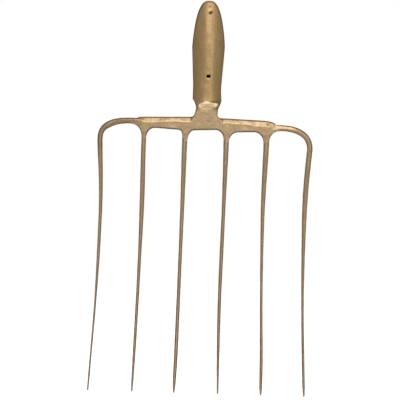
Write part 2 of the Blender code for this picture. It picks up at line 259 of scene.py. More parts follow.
def ring(centre, width, depth, turn=0.0, tilt=0.0):
    return {"centre": centre, "width": width, "depth": depth, "turn": turn, "tilt": tilt}


# camera, as the photograph was taken

view = {
    "place": (-0.0042, -1.1, -0.1296),
    "lens": 82.5,
    "sensor": 36,
    "nearest": 0.01,
    "roll": math.radians(1.8),
}
dropSelection()
bpy.ops.object.camera_add(location=view["place"], rotation=(right, 0, 0))
camera = bpy.context.object
camera.rotation_euler.rotate_axis("Z", view["roll"])
camera.data.lens = view["lens"]
camera.data.sensor_width = view["sensor"]
camera.data.clip_start = view["nearest"]
bpy.context.scene.camera = camera
print("camera placed")


# tines: where each one runs

tineShape = {
    "length": 305.1 * mm,       # below the bar
    "stub": 15.3 * mm,          # of that, forged on the bar
    "belly": 100 * mm,
    "setback": 22 * mm,
    "advance": 29.6 * mm,
    "tipSlope": math.tan(math.radians(29)),
    "pitch": 48.4 * mm,
    "outerGap": 51.72 * mm,
    "rootWidth": 6.35 * mm,
    "rootDepth": 7.6 * mm,
    "tipSize": 1.8 * mm,
    "rootFlat": 1 * mm,         # the top end is flat again this far down
    "step": 2.6 * mm,
    "sides": 24,
}
barLevel = {
    "top": -32.2 * mm,
    "under": -47.2 * mm,
    "middle": -14 * mm,         # depth of the bar's mid-plane
    "thickness": 8 * mm,
    "end": 80.6 * mm,
    "stubEnd": -62.5 * mm,
}
taperAt = (0, 0.233, 0.430, 0.661, 0.847, 0.968, 1)
driftAt = (0, 0.120, 0.292, 0.637, 0.861, 1)
depthShares = (1, 0.895, 0.763, 0.632, 0.553, 0.421)

innerSpread = 1.5 * tineShape["pitch"]
outerSpread = innerSpread + tineShape["outerGap"]
tines = {
    "outer_tine_left": {"middle": -outerSpread, "drift": (-0.5, 0.5, 0.2, -1.1, -2.3, -2.5),
        "width": (0.984, 0.710, 0.629, 0.419, 0.350, 0.330)},
    "inner_tine_1": {"middle": -innerSpread, "drift": (-0.5, -0.9, -1.7, -2.8, -3.3, -3.4),
        "width": (0.887, 0.919, 0.677, 0.581, 0.532, 0.390)},
    "inner_tine_2": {"middle": -tineShape["pitch"] / 2, "drift": (-0.4, -0.7, -1.3, -2.2, -2.7, -3.4),
        "width": (1.000, 0.806, 0.694, 0.677, 0.694, 0.550)},
    "inner_tine_3": {"middle": tineShape["pitch"] / 2, "drift": (0.4, 0.5, 0.3, -1.4, -1.5, -1.2),
        "width": (1.032, 0.758, 0.710, 0.661, 0.530, 0.380)},
    "inner_tine_4": {"middle": innerSpread, "drift": (-0.4, -0.7, -0.6, 0.2, 0.8, 0.0),
        "width": (1.081, 0.839, 0.597, 0.516, 0.597, 0.560)},
    "outer_tine_right": {"middle": outerSpread, "drift": (-0.4, -1.8, -1.9, -2.1, -1.8, -1.8),
        "width": (1.048, 0.968, 0.677, 0.500, 0.520, 0.470)},
}
arms = {
    # the bend's reach, drop and fullness, and how much thicker it is; a hammered flat on the front
    # leans up or down, and the whole arm gets more or less painted shade
    "outer_tine_left": {"side": -1, "top": -34.6, "thick": 7.1, "reach": 38, "drop": 24,
                        "full": 2.7, "swell": 1.0, "lean": -8, "flat": 0.35, "rubbed": 0.46},
    "outer_tine_right": {"side": 1, "top": -37.8, "thick": 7.4, "reach": 38, "drop": 26,
                         "full": 2.5, "swell": 0.0, "lean": 13, "flat": 0.6, "rubbed": 0.0},
}
armFlat = {"from": 83 * mm, "to": 106 * mm, "fade": 8 * mm, "within": 7 * mm}
# painted shade where the skin faces out and up by more than a share, and less so down the tine
armShade = {"facing": 0.35, "over": 0.4, "below": 0.3, "down": 45 * mm}
armRoot = {
    # its core runs from inside the bar to the core's end; the forging is cut off before that, and
    # bridged to the drawn arm
    "inside": 74 * mm,
    "coreEnd": 101 * mm,
    "cut": 95.5 * mm,
    "from": 96.5 * mm,
    "soften": 2 * mm,           # the bridge is smoothed this far to each side
    "softening": 8,
}
bend = {
    "steps": 40,
    "swellPower": 2.2,
    "sides": 40,
    "armStep": 2.5 * mm,
    "tineFrom": 2 * mm,         # below the bend's last ring
    "leastTurn": 0.001,         # radians, a ring turned less is still straight
}


def tinePlace(tine, share):
    return tine["middle"] + mm * through(driftAt, tine["drift"], share)


def tineSize(root, shares, share):
    sizes = [root * part for part in shares] + [tineShape["tipSize"]]
    return through(taperAt, sizes, share)


def sideCurve(belowStub):
    # depth of the tine's middle, and its slope, at a distance below the stub
    belly = tineShape["belly"] - tineShape["stub"]
    back = tineShape["setback"]
    if belowStub <= belly:
        t = max(belowStub, 0) / belly
        return barLevel["middle"] + back * smoothStep(t), 6 * back * t * (1 - t) / belly
    span = tineShape["length"] - tineShape["belly"]
    t = (belowStub - belly) / span
    rise = -tineShape["advance"] - back
    endSlope = -tineShape["tipSlope"] * span
    y = barLevel["middle"] + back + rise * (3 * t * t - 2 * t ** 3)
    y += endSlope * (t ** 3 - t * t)
    slope = (rise * 6 * t * (1 - t) + endSlope * (3 * t * t - 2 * t)) / span
    return y, slope


def tineRings(tine, fromBelow):
    # rings from a level below the bar down to the tip
    rings = []
    length, stub = tineShape["length"], tineShape["stub"]
    count = round((length - fromBelow) / tineShape["step"])
    for k in range(count + 1):
        below = mix(fromBelow, length, k / count)
        share = (below - stub) / (length - stub)
        y, slope = sideCurve(below - stub)
        place = (tinePlace(tine, share), y, barLevel["under"] - below)
        width = tineSize(tineShape["rootWidth"], tine["width"], share)
        depth = tineSize(tineShape["rootDepth"], depthShares, share)
        rings.append(ring(place, width, depth, tilt=math.atan(slope)))
    return rings


def armRings(name, start, end=None):
    # along the arm and round the bend, between two distances off the middle, and down the tine
    arm, tine = arms[name], tines[name]
    side = arm["side"]
    thick = arm["thick"] * mm
    level = arm["top"] * mm - thick / 2
    reach = arm["reach"] * mm
    bendStart = abs(tinePlace(tine, 0)) - reach
    rootWidth = tineShape["rootWidth"] * tine["width"][0]
    steps = max(round((bendStart - start) / bend["armStep"]), 0)
    path = [(mix(start, bendStart, k / steps), level, thick, 0.0) for k in range(steps)]
    for k in range(bend["steps"] + 1):
        share = k / bend["steps"]
        out = math.sin(right * share) ** (2 / arm["full"])
        down = 1 - max(math.cos(right * share), 0.0) ** (2 / arm["full"])
        swell = arm["swell"] * mm * math.sin(math.pi * min(out, 1) ** bend["swellPower"]) ** 2
        path.append((bendStart + reach * out, level - swell / 2 - arm["drop"] * mm * down,
                     mix(thick, rootWidth, smoothStep(share)) + swell, smoothStep(share)))
    rings = []
    for k, (x, z, width, share) in enumerate(path):
        before, after = path[max(k - 1, 0)], path[min(k + 1, len(path) - 1)]
        falling = math.atan2(before[1] - after[1], after[0] - before[0])
        if k == len(path) - 1:
            falling = right
        if x < start or (end and x > end):
            continue
        rings.append(ring((side * x, barLevel["middle"], z), width,
                          mix(barLevel["thickness"], tineShape["rootDepth"], share),
                          turn=-side * (right - falling)))
    if end:
        return rings
    tineTop = rings[-1]["centre"][2] - bend["tineFrom"]
    return rings + tineRings(tine, barLevel["under"] - tineTop)


# crossbar blank: a flat outline, drawn point by point in the XZ plane

barOutline = {
    "top": ((-86, -38.5), (-84, -36.6), (-82, -34.9), (-80.5, -33.9), (-78.5, -33.2),
            (-74.2, -33.0), (-67, -32.8), (-60, -32.6), (-52, -32.4), (-45, -32.2),
            (-37, -31.9), (-30, -31.7), (-22, -31.5), (-18.4, -31.4), (-16.4, -31.1),
            (-15.2, -30.3), (-14.3, -29.0), (-13.5, -27.5), (-12.8, -25.5)),
    "arch": ((-11.5, -24.4), (0, -24.0), (12.0, -24.6)),
    "topRight": ((13.2, -26.4), (13.4, -28.6), (13.8, -30.2), (14.7, -31.3), (16.2, -31.9),
                 (20, -32.1), (26, -32.2), (33, -32.4), (43.1, -32.7), (52, -32.9),
                 (58, -33.1), (63, -33.2), (68, -33.4), (71.6, -33.6), (75.2, -34.1),
                 (78.8, -34.9), (81, -36.0), (82.6, -37.6), (84.5, -40.5)),
    "gussetRight": ((93.5, -42.5), (91.5, -44.7)),
    "gussetLeft": ((-92.5, -41.2), (-94, -39.5)),
    # each stub's fillets, left and right: how wide, how high, and the level they start from
    "stubs": {
        "inner_tine_1": ((13.6, 13.6, -41.6), (9.8, 11.0, -45.8)),
        "inner_tine_2": ((4.6, 6.0, -47.1), (7.8, 13.0, -47.2)),
        "inner_tine_3": ((9.8, 10.6, -46.0), (11.0, 12.0, -48.0)),
        "inner_tine_4": ((11.0, 11.6, -47.3), (12.4, 12.8, -45.1)),
    },
    "arcSteps": 7,
    "stubTip": {"half": 1.6, "shoulder": 1.4, "drop": 2.4},
    # the blank gets thinner than the round arms and tines: from where, how soon, to what share
    "thinArm": (82 * mm, 5 * mm, 0.45),
    "thinStub": (50 * mm, 3 * mm, 0.8),
}


def stubSide(name, side):
    # fillet arc from the underside down to the stub's side, in millimetres
    wide, high, level = barOutline["stubs"][name][0 if side < 0 else 1]
    tine = tines[name]
    edge = (tinePlace(tine, 0) + side * tineShape["rootWidth"] * tine["width"][0] / 2) / mm
    steps = barOutline["arcSteps"]
    points = []
    for k in range(steps + 1):
        angle = right * k / steps
        points.append((edge + side * wide * (1 - math.sin(angle)),
                       level - high * (1 - math.cos(angle))))
    return points


def underside():
    # from right to left, round each stub and its point
    points = list(barOutline["gussetRight"])
    tip = barOutline["stubTip"]
    for name in reversed(barOutline["stubs"]):
        middle = tinePlace(tines[name], 0) / mm
        rightSide = stubSide(name, 1)
        leftSide = stubSide(name, -1)
        low = min(rightSide[-1][1], leftSide[-1][1])
        points += rightSide
        points += [(middle + tip["half"], low - tip["shoulder"]), (middle, low - tip["drop"]),
                   (middle - tip["half"], low - tip["shoulder"])]
        points += leftSide[::-1]
    return points + list(barOutline["gussetLeft"])


def traceOutline(name, points, y):
    blank = addNew(name, bpy.ops.mesh.primitive_plane_add, size=mm, location=(0, 0, 0))
    startEdit(blank, action="SELECT")
    bpy.ops.mesh.merge(type="CENTER")
    here = Vector((points[0][0] * mm, y, points[0][1] * mm))
    bpy.ops.transform.translate(value=here)
    for x, z in points[1:]:
        there = Vector((x * mm, y, z * mm))
        bpy.ops.mesh.extrude_vertices_move(TRANSFORM_OT_translate={"value": there - here})
        here = there
    bpy.ops.mesh.select_all(action="SELECT")
    bpy.ops.mesh.edge_face_add()
    return blank


frontY = barLevel["middle"] - barLevel["thickness"] / 2
outlinePoints = (*barOutline["top"], *barOutline["arch"], *barOutline["topRight"], *underside())
blank = traceOutline("barBlank", outlinePoints, frontY)
drawOut((0, barLevel["thickness"], 0))
endEdit()


def thinOut(along, start, after, share):
    along = Vector(along)
    startEdit(blank, action="SELECT")
    bpy.ops.mesh.bisect(plane_co=along * start, plane_no=along)
    pickVerts(blank, lambda co: co.dot(along) > start + after)
    bpy.ops.transform.resize(value=(1, share, 1), center_override=(0, barLevel["middle"], 0))
    endEdit()


thinOut((-1, 0, 0), *barOutline["thinArm"])
thinOut((1, 0, 0), *barOutline["thinArm"])
thinOut((0, 0, -1), *barOutline["thinStub"])
normalsOut(blank)

barEdges = {
    # the upper front edge is hammered off: how deep and how tall
    "deep": 2.2 * mm,
    "tall": 6.0 * mm,
    # the outline's corners that it follows, by level and distance off the middle in millimetres
    "levels": (-36.5, -30.6),
    "reach": (15, 83),
    # its foot runs between these distances off the middle, and clear of the underside
    "footFrom": 17 * mm,
    "footTo": 82 * mm,
    "clear": 4 * mm,
    # places and reach of the facets, and how much further down each one comes
    "facets": ((-62 * mm, 9 * mm, 0.5 * mm), (-43 * mm, 10 * mm, -0.5 * mm),
               (30 * mm, 7 * mm, -0.3 * mm), (64 * mm, 11 * mm, 1.2 * mm)),
}
topCorners = barOutline["top"] + barOutline["topRight"]
flatTop = [(x, z) for x, z in topCorners
           if barEdges["levels"][0] < z < barEdges["levels"][1]
           and barEdges["reach"][0] < abs(x) < barEdges["reach"][1]]


def alongTop(point):
    # is the point one of the outline's corners on the bar's upper front edge
    return abs(point.y - frontY) < near and any(
        abs(point.x - x * mm) < near and abs(point.z - z * mm) < near for x, z in flatTop)


def chamferFoot(co, at=0.0, reach=1.0):
    # lower edge of the chamfer, on the bar's front face
    return (abs(co.y - frontY) < near and abs(co.x - at) < reach
            and barEdges["footFrom"] < abs(co.x) < barEdges["footTo"]
            and co.z > barLevel["under"] + barEdges["clear"])


startEdit(blank, "EDGE")
pick(blank, "edges", lambda edge: all(
    alongTop(blank.data.vertices[i].co) for i in edge.vertices))
bpy.ops.mesh.bevel(offset=barEdges["deep"], segments=1, affect="EDGES", clamp_overlap=False)
bpy.ops.mesh.select_mode(type="VERT")
pickVerts(blank, chamferFoot)
bpy.ops.transform.translate(value=(0, 0, barEdges["deep"] - barEdges["tall"]))
for facetAt, facetReach, facetDrop in barEdges["facets"]:
    pickVerts(blank, lambda co: chamferFoot(co, facetAt, facetReach))
    bpy.ops.transform.translate(value=(0, 0, -facetDrop))
endEdit()
print("bar blank drawn")


# neck: drawn down from the plug in the socket to the plate

neckShape = {
    # height, left, right, front, back, squareness, tilt back, tilt across
    "rings": (
        (4.0, -17.15, 17.4, -16.5, 17.1, 2.0, 0.276, 0.0),
        (-8.0, -17.15, 17.6, -16.95, 17.1, 2.0, 0.276, 0.0),
        (-9.5, -15.5, 17.8, -17.3, 16.6, 2.8, 0.26, 0.04),
        (-11.2, -14.2, 17.8, -17.55, 15.8, 4.5, 0.225, 0.08),
        (-12.9, -13.2, 17.4, -17.65, 14.8, 7.0, 0.19, 0.12),
        (-14.9, -12.7, 16.8, -17.7, 12.0, 9.0, 0.14, 0.13),
        (-17.2, -12.4, 16.3, -17.8, 8.5, 10.0, 0.08, 0.12),
        (-20.0, -12.5, 14.9, -17.95, 4.0, 9.0, 0.04, 0.09),
        (-23.0, -12.9, 14.0, -18.1, -0.5, 7.0, 0.0, 0.04),
        (-27.0, -13.1, 13.5, -18.1, -5.5, 6.4, 0.0, 0.0),
        (-32.0, -12.9, 13.3, -18.1, -9.0, 6.0, 0.0, 0.0),
        (-39.0, -12.6, 13.0, -17.9, -10.1, 6.0, 0.0, 0.0),
    ),
    "oval": 2.0,                # squareness of a plain oval
    "backSquare": 0.3,          # the back is less square than the front
    "columns": 96,
    "rows": 60,
    "weld": 0.01 * mm,
}
neckAt = [-r[0] for r in neckShape["rings"]]


def squared(value, squareness):
    return math.copysign(abs(value) ** (2 / squareness), value)


def neckPoint(angle, height):
    # angle from the front, round to the right; the ring grows squarer on its way down
    left, rightSide, front, back, square, tiltBack, tiltAcross = [
        through(neckAt, [r[k] for r in neckShape["rings"]], -height) for k in range(1, 8)]
    if math.cos(angle) < 0:
        square = mix(neckShape["oval"], square, neckShape["backSquare"])
    x = (left + rightSide) / 2 + (rightSide - left) / 2 * squared(math.sin(angle), square)
    y = (front + back) / 2 - (back - front) / 2 * squared(math.cos(angle), square)
    return Vector((x, y, height + tiltBack * y + tiltAcross * x)) * mm


def rollGrid(name, columns, rows, place):
    # a flat grid rolled round: place(turn, rise) with turn in -1..1 and rise in 0..1
    rolled = addNew(name, bpy.ops.mesh.primitive_grid_add, x_subdivisions=columns,
                    y_subdivisions=rows, size=2, location=(0, 0, 0))
    for vert in rolled.data.vertices:
        vert.co = place(vert.co.x, (vert.co.y + 1) / 2)
    return rolled


neckStack = rollGrid("neckStack", neckShape["columns"], neckShape["rows"],
                     lambda turn, rise: neckPoint(turn * math.pi, mix(-neckAt[-1], -neckAt[0], rise)))
startEdit(neckStack, action="SELECT")
bpy.ops.mesh.remove_doubles(threshold=neckShape["weld"])
endEdit()
closeEnds(neckStack)
print("neck drawn")


# the forging: bar, neck, stubs and arm roots worked into one skin

forging = {
    "voxel": 0.55 * mm,
    "ease": 0.5,                # strength of each round of smoothing
    "smoothing": 5,
    "neckCut": -31.2 * mm,
    "footLevel": -8.0 * mm,
    "footSlope": 0.276,
    "plugWall": 3.3 * mm,       # the socket's wall, its dent and a little air
    "plugShare": 0.99,          # the plug's top is this much of its foot
    # each stub's core: from how far under the bar's top, and its rings above and below the cut
    "core": {"inBar": 6 * mm, "above": 3 * mm, "below": 4 * mm},
    # smoother: beyond this, and at the chamfer's ends by the neck, in x, z and depth
    "endsFrom": 81 * mm,
    "chamferEnds": (15 * mm, 20 * mm, -40 * mm, 4 * mm),
    "endSmoothing": 14,
    # single blows: place, push and reach in millimetres
    "blows": (
        ((25.5, -18, -39.3), (0, 0.25, 0), 3.4),
        ((-10.0, -18, -20.5), (0, -0.6, 0), 4.2),
        ((11.5, -18, -20.5), (0, -0.75, 0), 5.0),
        ((1.0, -18, -22.0), (0, 0.25, 0), 5.5),
        ((-38.0, -18, -40.5), (0, 0.3, 0), 8.0),
        ((46.0, -18, -41.0), (0, 0.3, 0), 8.0),
    ),
}
paintedEdgeShade = {
    # edges this proud get a painted dark outline, painted shade; it fades towards the arms and the
    # tines
    "proud": 0.42 * mm,
    "rounds": 12,
    "fadeAt": 82 * mm,
    "armsFrom": 80 * mm,
    "fadeOver": 6 * mm,
    "stubFadeAt": 58 * mm,
    "stubFadeOver": 8 * mm,
    # the bar's top edge gets a painted dark line of shade too: how far down, how softly, and between
    # which ends
    "topLine": 1.5 * mm,
    "topSoft": 0.9 * mm,
    "topFrom": 15 * mm,
    "topTo": 84 * mm,
    "topEnds": 3 * mm,
    "topCorners": 16,           # corners nearer the middle are the neck's
}
hammering = {
    # grain of the marks and their height
    "blows": (13 * mm, 0.30 * mm),
    "pits": (4.5 * mm, 0.16 * mm),
}
markLevel = 0.62                # above a half, so that marks stay below the drawn surface
markDetail = 2
marks = {}
for name, (grainSize, height) in hammering.items():
    marks[name] = bpy.data.textures.new(name, "CLOUDS")
    marks[name].noise_scale = grainSize
    marks[name].noise_depth = markDetail


def hammer(obj, share=1.0):
    for name, (grainSize, height) in hammering.items():
        addModifier(obj, "DISPLACE", texture=marks[name], texture_coords="LOCAL",
                    strength=height * share, mid_level=markLevel)


def flattenArm(obj, name):
    # what stands in front of a leaning plane goes back onto it
    arm = arms[name]
    lean = math.radians(arm["lean"])
    facing = Vector((0, -math.cos(lean), math.sin(lean)))
    middle = Vector((0, barLevel["middle"], (arm["top"] - arm["thick"] / 2) * mm))
    level = barLevel["thickness"] / 2 - arm["flat"] * mm
    for vert in obj.data.vertices:
        along = vert.co.x * arm["side"]
        offLevel = abs(vert.co.z - middle.z)
        if along < armFlat["from"] - armFlat["fade"] or offLevel > armFlat["within"]:
            continue
        share = (smoothStep((along - armFlat["from"]) / armFlat["fade"] + 1)
                 * smoothStep((armFlat["to"] - along) / armFlat["fade"] + 1))
        proud = (Vector((0, vert.co.y, vert.co.z)) - middle).dot(facing) - level
        if proud > 0 and share > 0:
            vert.co -= facing * proud * share
    obj.data.update()


def armPaintedShade(obj, name):
    # painted shade: the arm's top and the bend's outer side are painted darker, less so down the tine
    arm = arms[name]
    side = arm["side"]
    bendStart = abs(tinePlace(tines[name], 0)) - arm["reach"] * mm
    pivot = Vector((side * bendStart, 0, (arm["top"] - arm["thick"] / 2 - arm["drop"]) * mm))
    values = []
    for vert in obj.data.vertices:
        away = Vector((max((vert.co.x - pivot.x) * side, 0) * side, 0, max(vert.co.z - pivot.z, 0)))
        outwards = away.normalized() if away.length > 0 else Vector((side, 0, 0))
        down = smoothStep((pivot.z - vert.co.z) / armShade["down"])
        outer = smoothStep((vert.normal.dot(outwards) - armShade["facing"]) / armShade["over"])
        values.append(mix(max(outer, arm["rubbed"]), armShade["below"] * outer, down))
    return values


def topLine(co):
    # painted shade: a dark line along the bar's top edge, clear of the neck
    corners = [corner for corner in topCorners if abs(corner[0]) > paintedEdgeShade["topCorners"]]
    top = np.interp(co.x / mm, [x for x, z in corners], [z for x, z in corners]) * mm
    clear = (smoothStep((abs(co.x) - paintedEdgeShade["topFrom"]) / paintedEdgeShade["topEnds"])
             * smoothStep((paintedEdgeShade["topTo"] - abs(co.x)) / paintedEdgeShade["topEnds"]))
    return clear * (1 - smoothStep((top - co.z - paintedEdgeShade["topLine"]) / paintedEdgeShade["topSoft"]))


def forgingPaintedShade(obj):
    # painted shade on proud edges and along the top line on the bar, and the arms' own painted shade
    # beyond it
    places = [vert.co for vert in obj.data.vertices]
    fade = [smoothStep((paintedEdgeShade["fadeAt"] - abs(co.x)) / paintedEdgeShade["fadeOver"])
            * smoothStep((co.z + paintedEdgeShade["stubFadeAt"]) / paintedEdgeShade["stubFadeOver"]) for co in places]
    felt = np.maximum(feelEdges(obj, paintedEdgeShade["rounds"], paintedEdgeShade["proud"]), 0) * np.array(fade)
    felt = np.maximum(felt, [topLine(co) for co in places])
    onLeft = np.array([co.x < 0 for co in places])
    armShare = [smoothStep((abs(co.x) - paintedEdgeShade["armsFrom"]) / paintedEdgeShade["fadeOver"]) for co in places]
    leftArmShade, rightArmShade = [armPaintedShade(obj, name) for name in arms]
    return np.maximum(felt, np.where(onLeft, leftArmShade, rightArmShade) * np.array(armShare))


cores = []
for name in barOutline["stubs"]:
    tine = tines[name]
    width = tineShape["rootWidth"] * tine["width"][0]
    x = tinePlace(tine, 0)
    heights = (barLevel["top"] - forging["core"]["inBar"],
               barLevel["stubEnd"] + forging["core"]["above"],
               barLevel["stubEnd"],
               barLevel["stubEnd"] - forging["core"]["below"])
    cores.append(drawBar(name + "Core", [
        ring((x, barLevel["middle"], z), width, tineShape["rootDepth"]) for z in heights],
        tineShape["sides"]))
for name in arms:
    cores.append(drawBar(name + "Core", armRings(name, armRoot["inside"], armRoot["coreEnd"]),
                         tineShape["sides"]))

whole = joinAll([blank, neckStack] + cores, "forging")
addModifier(whole, "REMESH", mode="VOXEL", voxel_size=forging["voxel"])
addModifier(whole, "SMOOTH", factor=forging["ease"], iterations=forging["smoothing"])
endFrom, endTo, endAbove, endDepth = forging["chamferEnds"]
ends = whole.vertex_groups.new(name="ends")
ends.add([v.index for v in whole.data.vertices if abs(v.co.x) > forging["endsFrom"]
          or (endFrom < abs(v.co.x) < endTo and v.co.z > endAbove and v.co.y < frontY + endDepth)],
         1.0, "REPLACE")
addModifier(whole, "SMOOTH", factor=forging["ease"], iterations=forging["endSmoothing"],
            vertex_group="ends")
for blowPlace, push, reach in forging["blows"]:
    pressIn(whole, blowPlace, push, reach)
for name in arms:
    flattenArm(whole, name)
hammer(whole)
keepPaintedShade(whole, forgingPaintedShade(whole))
print("forging skinned:", len(whole.data.polygons), "faces")

pieces = {}

neckPiece = copyOf(whole, "forgedNeck")
cutAway(neckPiece, (0, 0, forging["neckCut"]), (0, 0, -1))
cutAway(neckPiece, (0, 0, forging["footLevel"]), (0, -forging["footSlope"], 1))
# the middle of the big cut face is drawn out, and flattened at level 0 where the shaft sits
foot = max(neckPiece.data.polygons, key=lambda face: len(face.vertices) * (face.normal.z > 0.5))
foot = foot.index
startEdit(neckPiece, "FACE")
pick(neckPiece, "polygons", lambda face: face.index == foot)
bpy.ops.mesh.inset(thickness=forging["plugWall"])
drawOut((0, 0, 0))
bpy.ops.transform.resize(value=(forging["plugShare"], forging["plugShare"], 0),
                         center_override=(0, 0, 0))
endEdit()
pieces["neck"] = neckPiece

barPiece = copyOf(whole, "forgedBar")
cutAway(barPiece, (0, 0, forging["neckCut"]), (0, 0, 1))
cutAway(barPiece, (barLevel["end"], 0, 0), (1, 0, 0))
cutAway(barPiece, (-barLevel["end"], 0, 0), (-1, 0, 0))
cutAway(barPiece, (0, 0, barLevel["stubEnd"]), (0, 0, -1))
pieces["crossbar"] = barPiece
print("neck and bar cut apart")


# inner tines

for name in barOutline["stubs"]:
    tine = drawBar(name.replace("_", "") + "Drawn", tineRings(tines[name], tineShape["stub"]),
                   tineShape["sides"], openStart=True)
    hammer(tine)
    startEdit(tine)
    pickVerts(tine, lambda co: co.z > barLevel["stubEnd"] - tineShape["rootFlat"])
    bpy.ops.transform.resize(value=(1, 1, 0), center_override=(0, 0, barLevel["stubEnd"]))
    endEdit()
    closeEnds(tine)
    pieces[name] = tine
print("inner tines drawn")


# outer tines: arm root from the forging, bridged to the drawn arm, bend and tine

for name, arm in arms.items():
    side = arm["side"]
    root = copyOf(whole, name + "Root")
    cutAway(root, (side * barLevel["end"], 0, 0), (-side, 0, 0))
    cutAway(root, (side * armRoot["cut"], 0, 0), (side, 0, 0), fill=False)
    drawn = drawBar(name + "Arm", armRings(name, armRoot["from"]), bend["sides"],
                    openStart=True)
    flattenArm(drawn, name)
    hammer(drawn)
    keepPaintedShade(drawn, armPaintedShade(drawn, name))
    outer = joinAll([root, drawn], name.replace("_", "") + "Drawn")
    startEdit(outer, "EDGE")
    bpy.ops.mesh.select_non_manifold(extend=False)
    bpy.ops.mesh.bridge_edge_loops()
    bpy.ops.mesh.select_mode(type="VERT")
    pickVerts(outer, lambda co: armRoot["cut"] - armRoot["soften"] < co.x * side
              < armRoot["from"] + armRoot["soften"])
    bpy.ops.mesh.vertices_smooth(factor=forging["ease"], repeat=armRoot["softening"])
    endEdit()
    normalsOut(outer)
    pieces[name] = outer
dropSelection()
bpy.data.objects.remove(whole)
print("outer tines drawn")


# socket: a sheet rolled round the shaft, with two tongues

sheet = {
    "wall": 2.2 * mm,
    "foot": 17.0 * mm,
    "taper": 0.060,
    "taperFrom": 8 * mm,
    "side": 52 * mm,            # where it opens between the tongues
    "widest": 55 * mm,
    "tongueTaper": 0.012,
    "frontTip": 105.4 * mm,
    "backTip": 104.0 * mm,
    "crown": 2.6,               # how blunt the tongues are at the tip
    "flank": 2.05,              # and how far their flanks sweep in
    "seam": 0.03 * mm,
    "footDrop": 12.7 * mm,
    "footSlope": 0.276,
    "columns": 112,
    "rows": 84,
    "edgeRound": 0.5 * mm,
    "sharp": math.radians(50),
    "shadedRim": 3.0 * mm,
    "rimSolid": 0.2,            # share of that which is painted dark all over
    "rimStep": 0.02,            # radians, to find how steep the rim is
    "insideFrom": 1.6 * mm,     # this far under the outer skin it is painted dark, painted shade
    # the rolled sheet isn't quite straight, and its foot is a little wider on the right
    "driftAt": (-10, 10, 40, 60, 78, 95, 106),
    "drift": (0.05, 0.15, 0.25, 0.25, 0.0, -0.2, -0.25),
    "flare": 0.45 * mm,
    "flareFrom": 1 * mm,
    "flareOver": 7 * mm,
    "marks": 0.5,               # hammer marks are this share of the bar's
    # soft blows: place across and height, push and reach
    "blows": ((0.9, 97.2, 0.42, 2.8), (1.2, 22.0, 0.35, 4.0), (-6.0, 60.0, 0.25, 9.0),
              (5.5, 36.0, 0.3, 9.0), (-4.0, 8.0, 0.35, 7.0), (1.5, -10.0, 0.8, 16.0)),
}
holes = (
    # place across, height, half width, half height, turn in degrees, dimple depth and reach
    {"x": 1.5, "z": 91.0, "wide": 2.7, "high": 1.7, "turn": 28, "dimple": 0.1, "reach": 3.0},
    {"x": 1.2, "z": 16.7, "wide": 2.6, "high": 1.9, "turn": 8, "dimple": 0.6, "reach": 4.6},
)
drillBit = {"sides": 40, "long": 14 * mm, "middle": -14 * mm}
holeWall = 1.1                  # of a hole's size, squared, is still its wall


def sheetRadius(z):
    tube = min(max(z, sheet["taperFrom"]), sheet["widest"]) - sheet["taperFrom"]
    return (sheet["foot"] + sheet["taper"] * tube
            + sheet["tongueTaper"] * max(z - sheet["widest"], 0))


def sheetFoot(angle):
    return -sheet["footDrop"] + sheet["footSlope"] * sheet["foot"] * (1 - math.cos(angle))


def sheetRim(angle):
    tip = sheet["frontTip"]
    if angle > right:
        tip, angle = sheet["backTip"], math.pi - angle
    angle = min(max(angle, 0.0), right)
    share = (1 - (angle / right) ** sheet["crown"]) ** sheet["flank"]
    return mix(sheet["side"], tip, share)


seamAngle = math.pi - sheet["seam"] / 2 / sheet["foot"]


def sheetPoint(turn, rise):
    angle = turn * seamAngle
    height = mix(sheetFoot(angle), sheetRim(abs(angle)), rise)
    radius = sheetRadius(height)
    across = radius * math.sin(angle) + mm * through(sheet["driftAt"], sheet["drift"], height / mm)
    low = smoothStep((sheet["flareFrom"] - height) / sheet["flareOver"])
    across += sheet["flare"] * max(math.sin(angle), 0) * low
    return across, -radius * math.cos(angle), height


socket = rollGrid("rolledSocket", sheet["columns"], sheet["rows"], sheetPoint)
for hole in holes:
    # the metal is pushed in round each hole
    pressIn(socket, (hole["x"], -sheetRadius(hole["z"] * mm) / mm, hole["z"]),
            (0, hole["dimple"], 0), hole["reach"])
for across, blowHeight, push, reach in sheet["blows"]:
    pressIn(socket, (across, -sheetRadius(blowHeight * mm) / mm, blowHeight), (0, push, 0), reach)
normalsOut(socket)
hammer(socket, sheet["marks"])
addModifier(socket, "SOLIDIFY", thickness=sheet["wall"], offset=-1.0, use_even_offset=True)
for hole in holes:
    # an oval drill as deep as the front wall, turned a little
    drill = addNew("drill", bpy.ops.mesh.primitive_cylinder_add, vertices=drillBit["sides"],
                   radius=mm, depth=drillBit["long"], rotation=(right, 0, 0),
                   location=(hole["x"] * mm, drillBit["middle"], hole["z"] * mm))
    drill.scale = (hole["wide"], hole["high"], 1)
    drill.rotation_euler.rotate_axis("Z", math.radians(hole["turn"]))
    bpy.ops.object.transform_apply(location=True, rotation=True, scale=True)
    addModifier(socket, "BOOLEAN", operation="DIFFERENCE", object=drill)
    bpy.data.objects.remove(drill)
startEdit(socket, "EDGE")
bpy.ops.mesh.edges_select_sharp(sharpness=sheet["sharp"])
endEdit()
for sharp in socket.data.edges:
    # the foot, which lies on the neck, keeps its edges
    if min(socket.data.vertices[i].co.z for i in sharp.vertices) < 0:
        sharp.select = False
bpy.ops.object.mode_set(mode="EDIT")
bpy.ops.mesh.bevel(offset=sheet["edgeRound"], segments=2, affect="EDGES", clamp_overlap=True)
endEdit()


def inHole(co):
    # on the wall of one of the drilled ovals
    for hole in holes:
        turn = math.radians(hole["turn"])
        x, z = co.x / mm - hole["x"], co.z / mm - hole["z"]
        long = (x * math.cos(turn) + z * math.sin(turn)) / hole["wide"]
        short = (z * math.cos(turn) - x * math.sin(turn)) / hole["high"]
        if co.y < 0 and long ** 2 + short ** 2 < holeWall:
            return True
    return False


